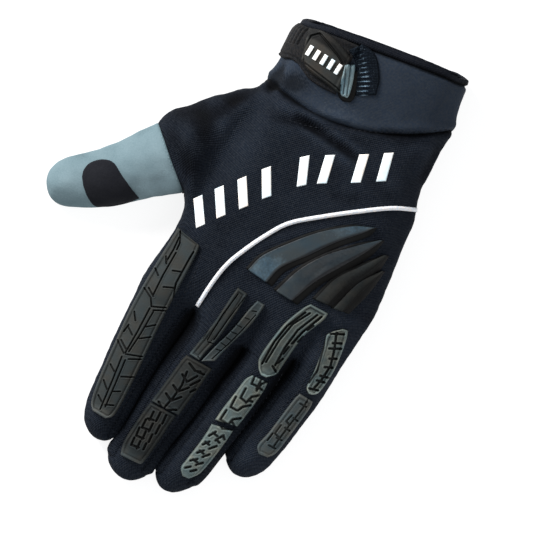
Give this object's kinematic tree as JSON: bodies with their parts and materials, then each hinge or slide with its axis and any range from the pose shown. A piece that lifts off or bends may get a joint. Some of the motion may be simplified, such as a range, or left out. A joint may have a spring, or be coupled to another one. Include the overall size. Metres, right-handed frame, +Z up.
{
  "type": "motocross glove",
  "caption": "Left-hand motocross glove lying palm down: black back with moulded rubber finger armour, curved white line, gray thumb, neoprene cuff and wrist strap with a moulded tab.",
  "frame": {"origin": "centre of the bounding box, on the surface that the palm lies on", "axes": "+Y towards the fingertips, +X towards the thumb, +Z up out of the back of the hand"},
  "size_m": [0.1662, 0.2414, 0.0369],
  "materials": {
    "fabric_black": "stretch mesh fabric",
    "palm_black": "black synthetic suede",
    "thumb_gray": "light gray synthetic suede",
    "neoprene_navy": "neoprene with a knitted face",
    "binding_black": "woven binding tape",
    "rubber_dark": "matte moulded rubber",
    "rubber_ring": "satin moulded rubber",
    "blade_blue": "glossy moulded film",
    "white_print": "white raised print",
    "piping_white": "white welded line",
    "patch_black": "black suede patch",
    "strap_black": "woven strap",
    "tab_rubber": "moulded rubber tab",
    "grip_gray": "gray moulded rubber",
    "loop_navy": "woven loop pile"
  },
  "bodies": {
    "root": {"back_flash_1": "white_print", "back_flash_2": "white_print", "back_flash_3": "white_print", "back_flash_4": "white_print", "back_flash_5": "white_print", "back_flash_6": "white_print", "back_flash_7": "white_print", "back_flash_8": "white_print", "blade_1": "blade_blue", "blade_2": "rubber_dark", "blade_3": "rubber_dark", "blade_4": "rubber_dark", "cuff": "neoprene_navy", "cuff_binding": "binding_black", "fourchette_index_middle": "fabric_black", "fourchette_middle_ring": "fabric_black", "fourchette_ring_little": "fabric_black", "hand_back": "fabric_black", "index_armour": "rubber_dark", "little_armour_low": "rubber_ring", "little_armour_tip": "rubber_dark", "loop_patch": "loop_navy", "middle_armour_left": "rubber_dark", "middle_armour_mid": "rubber_dark", "middle_armour_right": "rubber_dark", "middle_armour_tip": "rubber_dark", "palm": "palm_black", "piping": "piping_white", "ring_armour_low": "rubber_ring", "ring_armour_mid": "rubber_ring", "ring_armour_tip": "rubber_ring", "strap_tab": "tab_rubber", "tab_grip": "grip_gray", "thumb": "thumb_gray", "thumb_patch": "patch_black", "wrist_strap": "strap_black"}
  },
  "joints": []
}
